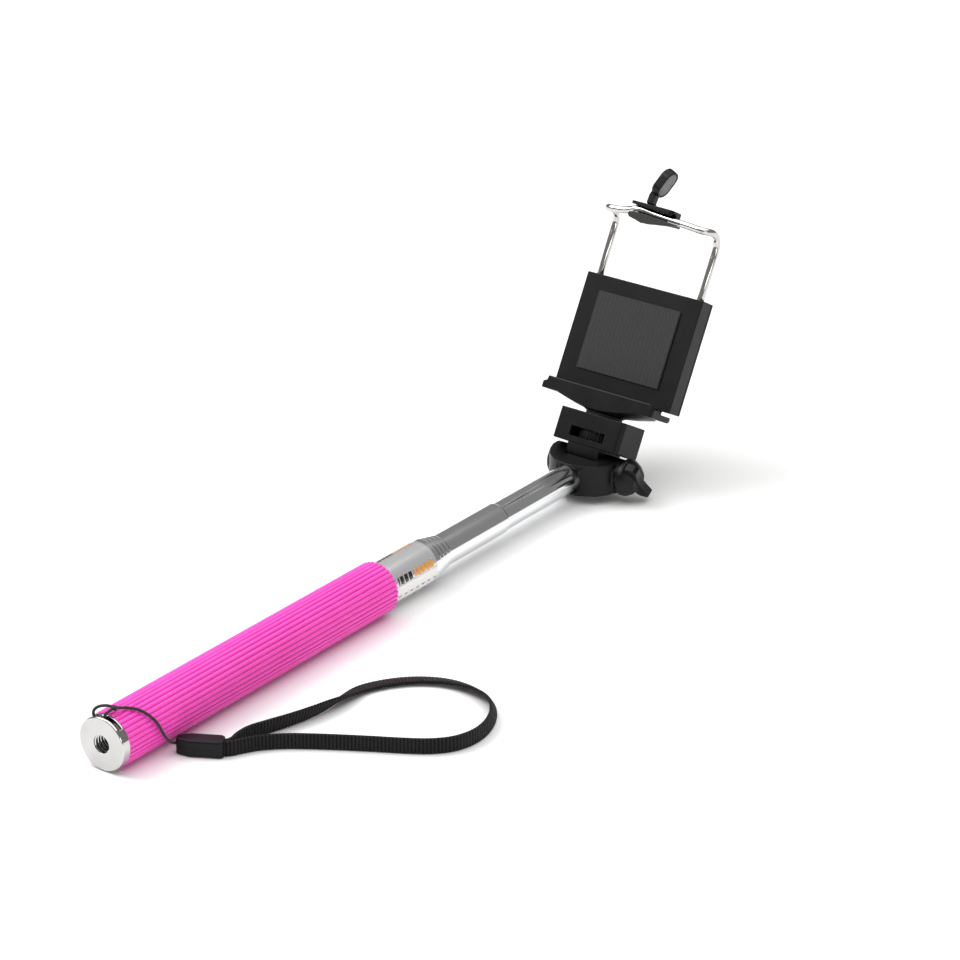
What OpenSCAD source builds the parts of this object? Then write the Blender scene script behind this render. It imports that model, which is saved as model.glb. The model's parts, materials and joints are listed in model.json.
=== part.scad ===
// Telescopic selfie stick with a tilting, spring-loaded phone clamp and a wrist strap.
// Millimetres. The origin is the centre of the mouth of the threaded hole in the end cap.
// +X runs along the stick towards the clamp, +Z is up and +Y is to the left, away from the wing knob.

/* [Handle] */
// Radius over the crests of the grip's ribs
grip_r = 9.45; // [9.4:0.05:9.6]
// Front end of the grip
grip_end = 142.4; // [120:0.1:150]
// Number of ribs around the grip
rib_count = 34; // [24:1:40]
// Radius of a rib
rib_r = 0.72; // [0.6:0.02:0.8]
// Radius of the end cap
cap_r = 9.25; // [9:0.05:9.4]
// Thickness of the end cap's rim
cap_t = 3.4; // [3.2:0.1:4]
// Radius of the 1/4 inch thread in the end cap
thread_r = 3.175; // [3.175]
// Depth of the threaded hole
thread_depth = 10; // [8:0.5:12]

/* [Tubes] */
// Outer radius of the widest tube
tube_r = 7.9; // [7.9]
// Step in radius from one tube to the next
tube_step = 0.5; // [0.5:0.01:0.52]
// Wall of every tube
tube_wall = 0.3; // [0.28:0.01:0.32]
// Running gap of a friction sleeve in the next tube
sleeve_gap = 0.03; // [0.02:0.01:0.05]
// Length of a friction sleeve
sleeve_len = 8; // [6:0.5:9]

/* [Head] */
// Distance of the tilt hinge along the stick
hinge_x = 272; // [271:0.1:273]
// Lean of the clamp away from upright
tilt = 28.5; // [0:0.5:60]
// Half width of the fork
fork_half = 14.8; // [14.6:0.1:15]
// Half height of the fork
fork_half_h = 6; // [5.8:0.1:6.2]
// Half width of the slot between the ears
slot_half = 7.15; // [7.1:0.05:7.3]
// Radius of the hinge bolt
bolt_r = 2.5; // [2.5]
// Turn of the wing knob at rest
knob_turn = 52; // [0:1:180]

/* [Clamp] */
// Height of the phone's seat above the hinge
seat_z = 26.2; // [26:0.1:27]
// Opening between the jaws at rest
opening = 67; // [60:0.5:70]
// Half width of the lower jaw's plate
jaw_half = 24.6; // [24:0.1:25]
// Half width of the lip
lip_half = 22.4; // [22:0.1:23]
// Depth of the phone's slot
slot_depth = 7.1; // [7.1:0.1:7.3]
// Radius of the wire frame
wire_r = 1.4; // [1.35:0.05:1.4]
// Distance of each leg of the wire frame from the middle
leg_y = 22.3; // [21.5:0.1:22.5]
// Top of the rear housing above the hinge
housing_top = 70; // [69:0.5:72]

/* [Strap] */
// Radius of the thin cord
cord_r = 0.5; // [0.45:0.05:0.5]
// Width of the webbing
web_w = 5.6; // [5:0.1:6]
// Thickness of the webbing
web_t = 1.3; // [1:0.1:1.4]

/* [Hidden] */
$fn = 64;

eps = 0.01;
pink = "#f0419f";
satin_black = "#1d1d1f";
steel = "#c9ccd0";
brass = "#c8a04a";
web_black = "#191919";

// Mouth and inner end of each tube, from the widest to the thinnest
mouths = [170, 172.4, 175, 177.5, 213.1, 261.2];
starts = [cap_t, 17.5, 18.5, 19.5, 53.6, 96.7];
lip_len = 1.4;
flare_len = 0.5;
spigot_len = 12;

// Cord anchor in the rim of the cap: a groove with a bridge that the cord passes under
groove_x = [1.1, 2.7];
groove_floor = 6.4;
groove_from = 48;
groove_to = 135;
bridge_from = 70;
bridge_to = 84;
bridge_inner = 8.2;

// Clamp sizes, in the clamp's own frame: Z up the clamp from the hinge, X towards its back
block_half = [8.3, 14.4];
block_z = [6.7, 18.7];
block_corner = 1.8;
tongue_half = 6.85;
tongue_r = 6.4;
web_back = -6.7;
window_z = [9, 12.7];
window_half = 7.4;
wheel_r = 7.2;
wheel_z = [9.2, 12.5];
washer_z = 19.7;
neck_r = 7.2;
phone_front = -7;
phone_back = phone_front + slot_depth;
plate_z = [23.2, 25.4];
lip_top = seat_z + 1.9;
jaw_front = -9.4;
jaw_back = 9;
overhang_z = seat_z + 0.8;
pad_t = 0.8;
house_half = 25.6;
foot_half = 18;
house_front = phone_back + pad_t;
house_wall = 1;
house_back = 9;
leg_x = 4.4;
leg_top = 88;
leg_end = 39.5;
ferrule_len = 3;
ferrule_r = 2.2;
spring_r = 2.3;
spring_bore = 1.7;
jaw_z = seat_z + opening;
guide_r = wire_r + 0.06;
cover_screw_at = [[-16, 31], [16, 31], [-16, 62], [16, 62]];
bar_x = -6;

// Route of the thin cord: from the knot, under the bridge, back to the knot and on to the clip
cord_route = [
    [4.9, -1.3, 11.2], [3.2, -0.9, 10.8], [2.1, -0.3, 9.9], [1.9, 0, 8.7], [1.9, 0.4, 7.5],
    [1.9, 1.5, 6.95], [1.9, 2.8, 6.8], [1.9, 4, 7.5], [1.9, 4.6, 8.8], [2.2, 4.4, 10.1],
    [3.2, 3.2, 11.2], [4.5, 1, 11.6], [5.6, -1.2, 11.2], [7.4, -1.8, 10.5], [9.8, -2.8, 9.8],
    [12, -4.8, 9.0], [13.8, -7.1, 7.4], [15.4, -9, 5], [16.6, -10.1, 2.2], [18, -10.4, -0.8],
    [19.8, -10.4, -3.4], [21.7, -10.4, -5.2], [23.6, -10.9, -6]
];

// Route of the webbing's middle line, with its roll: 90 stands on edge, 0 lies flat
web_route = [
    [31.35, -22.75, 90], [32.4, -24.2, 90], [34.5, -24.6, 89], [38, -23.8, 86], [43.4, -23.9, 84], [50, -25.9, 80],
    [58, -28.7, 76], [66, -30.9, 70], [73, -32, 60], [79.5, -32.3, 42], [86, -32, 22], [92, -32.2, 10],
    [98, -34.6, 8], [104, -38.6, 8], [109, -43.8, 10], [112.4, -50, 14], [113.6, -56.6, 22],
    [112.8, -63.4, 34], [110.2, -69.8, 50], [105.8, -75.4, 66], [99.8, -79.6, 78], [92.6, -82.2, 86],
    [85, -82.6, 90], [77.8, -80.4, 90], [71.8, -75.4, 90], [66.8, -68.2, 90], [61.8, -59.8, 90],
    [56.4, -51, 90], [51, -42.8, 90], [46.4, -36.6, 90], [40.8, -31, 90], [35.4, -27.6, 90],
    [32.4, -26, 90], [30.05, -23.5, 90]
];
// Height of the table that the stick lies on
table_z = -grip_r;

// The clip lies on the table at the end of the cord
clip_at = [27.4, -17.4, -6.4];
clip_turn = -60;
clip_len = 15.4;
clip_h = 6;
clip_w = 6;

function unit(v) = v / norm(v);
function catmull(a, b, c, d, t) =
    0.5 * (2 * b + (c - a) * t + (2 * a - 5 * b + 4 * c - d) * t * t + (3 * b - a - 3 * c + d) * t * t * t);
function smoothed(p, n) = concat(
    [for (i = [0:len(p) - 2], k = [0:n - 1])
        catmull(p[max(i - 1, 0)], p[i], p[i + 1], p[min(i + 2, len(p) - 1)], k / n)],
    [p[len(p) - 1]]);
function tangent(p, i) = unit(p[min(i + 1, len(p) - 1)] - p[max(i - 1, 0)]);
function square_to(v, t) = unit(v - (v * t) * t);
// Rings of a round tube, carried along the route without twist
function round_rings(p, r, sides) =
    [for (i = 0, n = square_to([0.1, 0.9, 0.3], tangent(p, 0)); i < len(p);
          i = i + 1, n = i < len(p) ? square_to(n, tangent(p, i)) : n)
        let (b = cross(tangent(p, i), n))
        [for (k = [0:sides - 1]) p[i] + r * (cos(k * 360 / sides) * n + sin(k * 360 / sides) * b)]];
// Rings of a flat band, each turned by its own roll
function band_rings(p, roll, w, t) =
    [for (i = [0:len(p) - 1])
        let (f = tangent(p, i), s = unit(cross(f, [0, 0, 1])), u = cross(s, f),
             a = cos(roll[i]) * s + sin(roll[i]) * u, b = cross(f, a))
        [for (q = [[0.5, 0.28], [0.36, 0.5], [-0.36, 0.5], [-0.5, 0.28],
                   [-0.5, -0.28], [-0.36, -0.5], [0.36, -0.5], [0.5, -0.28]])
            p[i] + q[0] * w * a + q[1] * t * b]];

module swept(rings) {
    m = len(rings[0]);
    last = (len(rings) - 1) * m;
    points = [for (ring = rings, q = ring) q];
    faces = concat(
        [[for (k = [0:m - 1]) k]],
        [[for (k = [m - 1:-1:0]) last + k]],
        [for (i = [0:len(rings) - 2], k = [0:m - 1]) [i * m + k, (i + 1) * m + k, i * m + (k + 1) % m]],
        [for (i = [0:len(rings) - 2], k = [0:m - 1])
            [(i + 1) * m + k, (i + 1) * m + (k + 1) % m, i * m + (k + 1) % m]]);
    polyhedron(points, faces);
}

// A solid of revolution about the stick's axis, from [radius, x] points
module about_stick(profile) rotate([0, 90, 0]) rotate_extrude() polygon(profile);

// A ring sector about the stick's axis: angles from +Y towards +Z
module stick_sector(r1, r2, x1, x2, from, to)
    rotate([0, 90, 0]) rotate([0, 0, 90 + from])
        rotate_extrude(angle = to - from) translate([r1, x1]) square([r2 - r1, x2 - x1]);

// A rod along X, along Y, or up the clamp
module rod_x(r, x1, x2) translate([x1, 0, 0]) rotate([0, 90, 0]) cylinder(r = r, h = x2 - x1);
module rod_y(r, y1, y2) translate([0, y1, 0]) rotate([-90, 0, 0]) cylinder(r = r, h = y2 - y1);
module rod_z(r, z1, z2) translate([0, 0, z1]) cylinder(r = r, h = z2 - z1);

// A box given by its two corners
module slab(a, b) translate(a) cube(b - a);

// A box with its four upright edges rounded
module rounded_slab(a, b, r) {
    translate([0, 0, a[2]]) linear_extrude(b[2] - a[2]) {
        translate([a[0] + r, a[1]]) square([b[0] - a[0] - 2 * r, b[1] - a[1]]);
        translate([a[0], a[1] + r]) square([b[0] - a[0], b[1] - a[1] - 2 * r]);
        for (x = [a[0] + r, b[0] - r], y = [a[1] + r, b[1] - r]) translate([x, y]) circle(r);
    }
}

// An outline in the clamp's front view, made solid from front to back
module front_view(x1, x2, outline)
    translate([x1, 0, 0]) rotate([90, 0, 90]) linear_extrude(x2 - x1) polygon(outline);

module at_hinge() translate([hinge_x, 0, 0]) children();
module in_clamp() at_hinge() rotate([0, tilt, 0]) children();

// ---------- Handle ----------

module end_cap() color(steel) {
    chamfer = 0.3;
    difference() {
        about_stick([[0, 0], [cap_r - chamfer, 0], [cap_r, chamfer], [cap_r, cap_t],
                     [tube_r - tube_wall, cap_t], [tube_r - tube_wall, cap_t + spigot_len],
                     [0, cap_t + spigot_len]]);
        rod_x(thread_r, -eps, thread_depth);
        stick_sector(groove_floor, cap_r + 1, groove_x[0], groove_x[1], groove_from, groove_to);
    }
    stick_sector(bridge_inner, cap_r - chamfer, groove_x[0] - eps, groove_x[1] + eps, bridge_from, bridge_to);
}

module grip() color(pink) difference() {
    translate([cap_t, 0, 0]) rotate([0, 90, 0]) linear_extrude(grip_end - cap_t) {
        circle(grip_r - 0.5);
        for (i = [0:rib_count - 1]) rotate(i * 360 / rib_count)
            translate([grip_r - rib_r, 0]) circle(rib_r, $fn = 16);
    }
    rod_x(tube_r, cap_t - 1, grip_end + 1);
}

// ---------- Telescopic tubes ----------

function outer_r(k) = tube_r - (k - 1) * tube_step;
function bore_r(k) = outer_r(k) - tube_wall;

// A tube with its mouth rolled in onto the next tube
module rolled_tube(k) color(steel) {
    ro = outer_r(k);
    ri = bore_r(k);
    lip_r = outer_r(k + 1) + sleeve_gap;
    x1 = starts[k - 1];
    x2 = mouths[k - 1];
    flare = k == 1 ? ro : bore_r(k - 1) - sleeve_gap;
    about_stick([[ri, x1], [flare, x1], [flare, x1 + flare_len], [ro, x1 + flare_len],
                 [ro, x2 - 0.6], [ro - 0.15, x2 - 0.2], [lip_r + 0.1, x2], [lip_r, x2 - 0.1],
                 [lip_r, x2 - lip_len], [ri, x2 - lip_len]]);
}

module tube_1() rolled_tube(1);
module tube_2() rolled_tube(2);
module tube_3() rolled_tube(3);
module tube_4() rolled_tube(4);
module tube_5() rolled_tube(5);

module tube_6() color(steel) {
    x1 = starts[5];
    flare = outer_r(6) + 0.12;
    about_stick([[bore_r(6), x1], [flare, x1], [flare, x1 + flare_len], [outer_r(6), x1 + flare_len],
                 [outer_r(6), mouths[5]], [bore_r(6), mouths[5]]]);
}

// Two half shells of springy brass around the inner end of a tube
module sleeve(k, inner_gap) color(brass) {
    slit = 5;
    x1 = starts[k - 1] + flare_len + 0.05;
    for (half = [0, 180])
        stick_sector(outer_r(k) + inner_gap, bore_r(k - 1) - sleeve_gap, x1, x1 + sleeve_len,
                     half + slit, half + 180 - slit);
}

module friction_sleeve_2() sleeve(2, 0);
module friction_sleeve_3() sleeve(3, 0);
module friction_sleeve_4() sleeve(4, 0);
module friction_sleeve_5() sleeve(5, 0);
module friction_sleeve_6() sleeve(6, sleeve_gap);

module tube_label() color("white") {
    film = 0.08;
    stick_sector(tube_r, tube_r + film, grip_end + 0.1, 166.9, 20, 320);
}

// ---------- Wrist strap ----------

module wrist_cord() color(web_black) swept(round_rings(cord_route, cord_r, 8));

module cord_knot() color(web_black) {
    knot_r = 1.25;
    translate([5.2, -1.3, 11.2]) sphere(knot_r, $fn = 32);
}

module in_clip() translate(clip_at) rotate([0, 0, clip_turn]) children();

// Plan of the clip, narrow where the cord enters
module clip_plan(grow) {
    l = clip_len / 2;
    w = clip_w / 2;
    polygon([[-l, -1.5 - grow], [-l + 4.5, -w], [l - 0.8, -w], [l, -w + 0.8],
             [l, w - 0.8], [l - 0.8, w], [-l + 4.5, w], [-l, 1.5 + grow]]);
}

module clip_half(z1, z2) color(satin_black) in_clip() difference() {
    translate([0, 0, z1]) linear_extrude(z2 - z1) clip_plan(0);
    slab([-clip_len / 2 - 1, -cord_r, -cord_r], [-clip_len / 2 + 3, cord_r, cord_r]);
    slab([clip_len / 2 - 2.5, -1.6, -web_w / 2], [clip_len / 2 + 1, 1.6, web_w / 2]);
}

module strap_clip_body() clip_half(-3.05, 0);
module strap_clip_cover() clip_half(0, clip_h - 3.05);

module wrist_webbing() color(web_black) {
    roll = [for (q = web_route) q[2]];
    p = [for (q = web_route) [q[0], q[1], table_z + (web_w * sin(q[2]) + web_t * cos(q[2])) / 2]];
    swept(band_rings(p, roll, web_w, web_t));
}

// ---------- Head ----------

module fork_head() color(satin_black) at_hinge() difference() {
    union() {
        rod_z(fork_half, -fork_half_h, fork_half_h);
        rod_y(fork_half_h, -fork_half, fork_half);
    }
    // the open front of the fork, past the hinge
    difference() {
        slab([0, -fork_half - 1, -fork_half_h - 1], [fork_half + 1, fork_half + 1, fork_half_h + 1]);
        rod_y(fork_half_h, -fork_half - 2, fork_half + 2);
    }
    slab([web_back, -slot_half, -fork_half_h - 1], [fork_half + 1, slot_half, fork_half_h + 1]);
    rod_x(outer_r(6), -fork_half - 1, mouths[5] - hinge_x);
    rod_x(1.6, -fork_half, 0);
    rod_x(3.1, -8.9, 0);
    rod_y(bolt_r + 0.05, -fork_half - 1, fork_half + 1);
    rotate([-90, 0, 0]) rotate([0, 0, 30]) translate([0, 0, fork_half - 3.2]) cylinder(r = 4.7, h = 4, $fn = 6);
}

module tube_plug() color("silver") difference() {
    rod_x(bore_r(6), 249.5, mouths[5]);
    rod_x(1.25, 251, mouths[5] + 1);
}

module fork_screw() color(steel) {
    rod_x(1.25, 253, mouths[5] + eps);
    rod_x(1.55, mouths[5], hinge_x - 8.9);
    rod_x(2.8, hinge_x - 8.9, hinge_x - 7);
}

module hinge_bolt() color(steel) at_hinge() {
    rod_y(bolt_r, -knob_y - 5.5, fork_half - 3.2 + eps);
    rotate([-90, 0, 0]) rotate([0, 0, 30]) translate([0, 0, fork_half - 3.2]) cylinder(r = 4.6, h = 2.9, $fn = 6);
}

module knob_washer() color(steel) at_hinge() difference() {
    rod_y(5.2, -fork_half - 0.8, -fork_half);
    rod_y(bolt_r + 0.2, -fork_half - 1, -fork_half + 1);
}

knob_y = fork_half + 0.9;

module wing_knob() color(satin_black) at_hinge() rotate([0, knob_turn, 0]) difference() {
    union() {
        rotate([90, 0, 0]) rotate_extrude()
            polygon([[0, knob_y], [6.6, knob_y], [7, knob_y + 0.5], [6.9, knob_y + 2.4],
                     [5.6, knob_y + 4.6], [3.8, knob_y + 6.4], [0, knob_y + 6.8]]);
        translate([0, 0, -1.6]) linear_extrude(3.2)
            polygon([[-5, -knob_y - 1.6], [-8.4, -knob_y - 3.2], [-9.4, -knob_y - 4.6], [-9, -knob_y - 7.8],
                     [-7.6, -knob_y - 8.8], [-4, -knob_y - 7.9], [0, -knob_y - 7], [4, -knob_y - 7.9],
                     [7.6, -knob_y - 8.8], [9, -knob_y - 7.8], [9.4, -knob_y - 4.6], [8.4, -knob_y - 3.2],
                     [5, -knob_y - 1.6]]);
    }
    rod_y(bolt_r + 0.1, -knob_y - 5.8, -knob_y + 1);
    rotate([90, 0, 0]) translate([0, 0, knob_y + 0.9]) cylinder(r = 4.4, h = 3.3, $fn = 6);
}

module knob_nut() color(brass) at_hinge() rotate([0, knob_turn, 0]) difference() {
    rotate([90, 0, 0]) translate([0, 0, knob_y + 0.9]) cylinder(r = 4.4, h = 3.3, $fn = 6);
    rod_y(bolt_r + 0.05, -knob_y - 5, -knob_y);
}

module tilt_block() color(satin_black) in_clamp() difference() {
    union() {
        rounded_slab([-block_half[0], -block_half[1], block_z[0]], [block_half[0], block_half[1], block_z[1]],
                     block_corner);
        rod_y(tongue_r, -tongue_half, tongue_half);
        translate([0, tongue_half, 0]) rotate([90, 0, 0]) linear_extrude(2 * tongue_half)
            polygon([[-tongue_r, 0], [tongue_r, 0], [block_half[0], block_z[0] + eps],
                     [-block_half[0], block_z[0] + eps]]);
    }
    slab([-block_half[0] - 1, -window_half, window_z[0]], [block_half[0] + 1, window_half, window_z[1]]);
    rod_z(thread_r + 0.08, window_z[1] - 1, block_z[1] + 1);
    rod_z(1.6, 7.2, window_z[0] + 1);
    rod_y(bolt_r + 0.08, -tongue_half - 1, tongue_half + 1);
}

module swivel_washer() color("#2b2b2b") in_clamp() difference() {
    rod_z(7, block_z[1], washer_z);
    rod_z(thread_r + 0.1, block_z[1] - 1, washer_z + 1);
}

module tripod_screw() color(steel) in_clamp() {
    rod_z(1.5, 7.3, wheel_z[0] + eps);
    rod_z(thread_r, wheel_z[0], 24.2);
}

module thumb_wheel() color(satin_black) in_clamp() difference() {
    knurls = 28;
    rod_z(wheel_r, wheel_z[0], wheel_z[1]);
    rod_z(thread_r, wheel_z[0] - 1, wheel_z[1] + 1);
    for (i = [0:knurls - 1]) rotate(i * 360 / knurls)
        translate([wheel_r + 0.1, 0, 0]) rod_z(0.4, wheel_z[0] - 1, wheel_z[1] + 1, $fn = 16);
}

// ---------- Clamp ----------

// Side view of the lower jaw, with the lip's inner face following the phone's round edge
jaw_side = [
    [jaw_front, plate_z[0]], [3.5, plate_z[0]], [jaw_back, 24.8], [jaw_back, plate_z[1]], [-5.6, plate_z[1]],
    [-5.6, seat_z], [-6.9, seat_z + 0.35], [-8, seat_z + 1], [-8.7, lip_top - 0.1], [-9.1, lip_top],
    [jaw_front, lip_top - 0.3]
];

// The housing's outline seen from the front; it overhangs the lower jaw on both sides
module house_outline(inset, top) {
    translate([-foot_half + inset, plate_z[1] + inset])
        square([2 * (foot_half - inset), top - plate_z[1] - 2 * inset]);
    translate([-house_half + inset, overhang_z + inset])
        square([2 * (house_half - inset), top - overhang_z - 2 * inset]);
}

// Plan of the lower jaw, with its back corners well rounded
module jaw_plan() {
    back_r = 6;
    front_r = 1.2;
    square_x = jaw_back - back_r;
    translate([jaw_front, front_r - jaw_half]) square([square_x - jaw_front, 2 * (jaw_half - front_r)]);
    translate([jaw_front + front_r, -jaw_half]) square([square_x - jaw_front - front_r, 2 * jaw_half]);
    translate([square_x - eps, back_r - jaw_half]) square([back_r + eps, 2 * (jaw_half - back_r)]);
    for (side = [-1, 1]) {
        translate([jaw_front + front_r, side * (jaw_half - front_r)]) circle(front_r);
        translate([square_x, side * (jaw_half - back_r)]) circle(back_r);
    }
}

module house_solid(x1, x2, inset, top)
    translate([x1, 0, 0]) rotate([90, 0, 90]) linear_extrude(x2 - x1) house_outline(inset, top);

module clamp_base() color(satin_black) in_clamp() difference() {
    union() {
        intersection() {
            rotate_extrude() polygon([[0, washer_z + 0.05], [neck_r, washer_z + 0.05], [8.2, 20.3], [12.4, 21.1],
                                      [18.8, 22.8], [19.2, plate_z[0] + eps], [0, plate_z[0] + eps]]);
            slab([jaw_front, -20, 19], [jaw_back - 2, 20, 24]);
        }
        intersection() {
            translate([0, jaw_half, 0]) rotate([90, 0, 0]) linear_extrude(2 * jaw_half) polygon(jaw_side);
            translate([0, 0, 20]) linear_extrude(10) jaw_plan();
            front_view(jaw_front - 1, jaw_back + 1, [[-jaw_half, 20], [jaw_half, 20], [jaw_half, seat_z - 0.6],
                       [lip_half + 0.3, seat_z + 0.1], [lip_half, lip_top], [-lip_half, lip_top],
                       [-jaw_half, seat_z]]);
        }
        house_solid(house_front, house_back - 1.4, 0, housing_top);
    }
    difference() {
        house_solid(house_front + house_wall, house_back, house_wall, housing_top);
        for (p = cover_screw_at) translate([0, p[0], p[1]]) rod_x(2.3, house_front, house_back - 1.4);
    }
    for (p = cover_screw_at) translate([0, p[0], p[1]]) rod_x(0.95, house_front + house_wall, house_back);
    for (y = [-leg_y, leg_y]) translate([leg_x, y, 0]) rod_z(guide_r, housing_top - 3, housing_top + 1);
    rod_z(thread_r + 0.1, 19, 24.3);
    translate([0, 0, 20.6]) cylinder(r = 6, h = 3.7, $fn = 6);
}

module clamp_nut() color(brass) in_clamp() difference() {
    translate([0, 0, 20.6]) cylinder(r = 6, h = 3.7, $fn = 6);
    rod_z(thread_r + 0.05, 20, 25);
}

module seat_pad() color("#262626") in_clamp()
    slab([-5.5, -20, plate_z[1]], [house_front - 0.1, 20, seat_z]);

module back_pad() color("#262626") in_clamp()
    slab([phone_back, -18, seat_z + 8], [house_front, 18, housing_top - 6]);

module clamp_cover() color(satin_black) in_clamp() difference() {
    house_solid(house_back - 1.4, house_back, 0, housing_top);
    for (p = cover_screw_at) translate([0, p[0], p[1]]) {
        rod_x(1.2, 0, house_back + 1);
        rod_x(2, house_back - 0.9, house_back + 1);
    }
}

module cover_screws() color(steel) in_clamp()
    for (p = cover_screw_at) translate([0, p[0], p[1]]) {
        rod_x(0.95, house_back - 6, house_back - 0.9 + eps);
        rod_x(1.9, house_back - 0.9, house_back - 0.1);
    }

module jaw_springs() color(steel) in_clamp()
    for (y = [-leg_y, leg_y]) translate([leg_x, y, 0]) difference() {
        rod_z(spring_r, leg_end + ferrule_len + 0.05, housing_top - 1.05);
        rod_z(spring_bore, leg_end, housing_top);
    }

// Top of the wire frame: over the phone's edge from the left leg, along the front, and back to the right leg
frame_route = [
    [leg_x, leg_y, leg_top - 1], [leg_x, leg_y, leg_top], [leg_x - 0.2, leg_y, 90.6], [3.1, leg_y, 92.8],
    [1.2, leg_y, 94.2], [-1.2, leg_y, 94.7], [-3.4, leg_y - 0.1, 94.6], [-5.2, leg_y - 0.9, 94.4],
    [bar_x, leg_y - 2.6, 94.3], [bar_x, 16.8, 94.5], [bar_x, 13.6, 94.9], [bar_x - 0.2, 11, 95.6],
    [bar_x - 0.6, 8.6, 96.2], [bar_x - 0.5, 6, 96.3], [bar_x - 0.2, 3.2, 96], [bar_x, 0.4, 95.7],
    [bar_x, -4, 95.4], [bar_x, -10, 95], [bar_x, -16, 94.6], [bar_x, 2.6 - leg_y, 94.3],
    [-5.2, 0.9 - leg_y, 94.4], [-3.4, 0.1 - leg_y, 94.6], [-1.2, -leg_y, 94.7], [1.2, -leg_y, 94.2],
    [3.1, -leg_y, 92.8], [leg_x - 0.2, -leg_y, 90.6], [leg_x, -leg_y, leg_top], [leg_x, -leg_y, leg_top - 1]
];

module wire_frame() color(steel) in_clamp()
    swept(round_rings(concat([[leg_x, leg_y, leg_end]], smoothed(frame_route, 2), [[leg_x, -leg_y, leg_end]]),
                      wire_r, 12));

module leg_ferrules() color(brass) in_clamp()
    for (y = [-leg_y, leg_y]) translate([leg_x, y, 0]) difference() {
        rod_z(ferrule_r, leg_end, leg_end + ferrule_len);
        rod_z(wire_r, leg_end - 1, leg_end + ferrule_len + 1);
    }

bridge_top = jaw_z + 5.8;
bridge_front = -8.6;
bridge_back = -0.6;
block_y = [-10, 10.2];
lever_slot = [2, 8];
lever_at = [-3, 5.4, jaw_z + 4.3];
lever_half = 1;
lever_gap = 0.2;
pin_half = 2;
neck_x = [-5.2, -2];
neck_z = jaw_z + 6.3;
bridge_screw_at = [[-2.4, -4.2], [-2.4, 10]];

// Slit that the lever's lower end turns in, from a given height up
module lever_slit(z)
    slab([lever_at[0] - lever_half - lever_gap, lever_slot[0], z],
         [lever_at[0] + lever_half + lever_gap, lever_slot[1], bridge_top + 1]);

// Plate over the front bar, thicker towards the wing knob's side
module jaw_bridge() color(satin_black) in_clamp() difference() {
    intersection() {
        front_view(bridge_front, bridge_back, [[-7.6, jaw_z + 3.3], [0, jaw_z + 3.9], [11.2, jaw_z + 4.7],
                   [11.2, bridge_top], [-7.6, bridge_top - 0.3]]);
        rounded_slab([bridge_front, -7.6, jaw_z], [bridge_back, 11.2, jaw_z + 8], 1.9);
    }
    translate([bar_x - 0.5, 0, 0]) rotate([90, 0, 0]) translate([0, 0, -12])
        linear_extrude(22) translate([0, jaw_z + 2.9]) circle(wire_r + 0.15);
    lever_slit(jaw_z);
    slab([neck_x[0] - lever_gap, lever_slot[0], jaw_z + 5], [neck_x[1] + lever_gap, lever_slot[1], bridge_top + 1]);
    translate(lever_at) rod_x(0.6, -pin_half, pin_half);
    for (p = bridge_screw_at) translate([p[0], p[1], 0]) rod_z(0.7, jaw_z + 2, bridge_top - 0.6);
}

// Rubber jaw: a pad on the phone's edge and a toothed hook in front of it, joined under the front bar
module jaw_block() color("#1b1b1c") in_clamp() difference() {
    teeth = 5;
    union() {
        front_view(-4.4, bridge_back - 0.2, [[-8, jaw_z], [11, jaw_z], [11, jaw_z + 4.6], [0, jaw_z + 3.8],
                   [-8, jaw_z + 3.2]]);
        slab([-8, -5, jaw_z], [-4, 8, jaw_z + 0.9]);
        front_view(-9.3, -7.6, [[-10.6, jaw_z + 0.3], [-8.3, jaw_z - 0.45], [-4.6, jaw_z - 0.9], [-1, jaw_z - 1.3],
                   [1.2, jaw_z - 1.7], [4.6, jaw_z - 1.8], [6.6, jaw_z - 1.2], [9.6, jaw_z - 0.6],
                   [10.4, jaw_z + 0.2], [10.2, jaw_z + 1.3], [8, jaw_z + 1.7], [2, jaw_z + 1.6],
                   [-4, jaw_z + 1.1], [-10.6, jaw_z + 0.5]]);
    }
    for (i = [0:teeth - 1]) translate([-8.4, 5 - i, jaw_z - 1.9]) rotate([0, 90, 0])
        translate([0, 0, -2]) cylinder(r = 0.36, h = 4, $fn = 16);
    lever_slit(jaw_z + 1.4);
    translate(lever_at) rod_x(0.62, -pin_half, pin_half);
    for (p = bridge_screw_at) translate([p[0], p[1], 0]) {
        rod_z(0.7, jaw_z - 1, bridge_top);
        rod_z(1.3, jaw_z - 1, jaw_z + 1.2);
    }
}

module bridge_screws() color(steel) in_clamp()
    for (p = bridge_screw_at) translate([p[0], p[1], 0]) {
        rod_z(0.7, jaw_z + 1, bridge_top - 0.7);
        rod_z(1.2, jaw_z + 0.3, jaw_z + 1.2);
    }

// The lever's neck stands over its pin, and the paddle leans towards the wing knob's side
paddle_at = [-4.7, 1.5, jaw_z + 15];
paddle_lean = 23;
paddle_half = [3.6, 5.6];
paddle_t = 3.4;
inset = 0.9;

// Oval outline of the paddle, seen square to its flat face
module oval(half_w, half_l) {
    for (z = [half_w - half_l, half_l - half_w]) translate([0, z]) circle(half_w);
    square([2 * half_w, 2 * (half_l - half_w)], center = true);
}

// An oval plate in the paddle's own frame, between two distances from its middle plane
module paddle_plate(cut, y1, y2)
    translate(paddle_at) rotate([paddle_lean, 0, 0]) translate([0, y2, 0]) rotate([90, 0, 0])
        linear_extrude(y2 - y1) oval(paddle_half[0] - cut, paddle_half[1] - cut);

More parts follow.
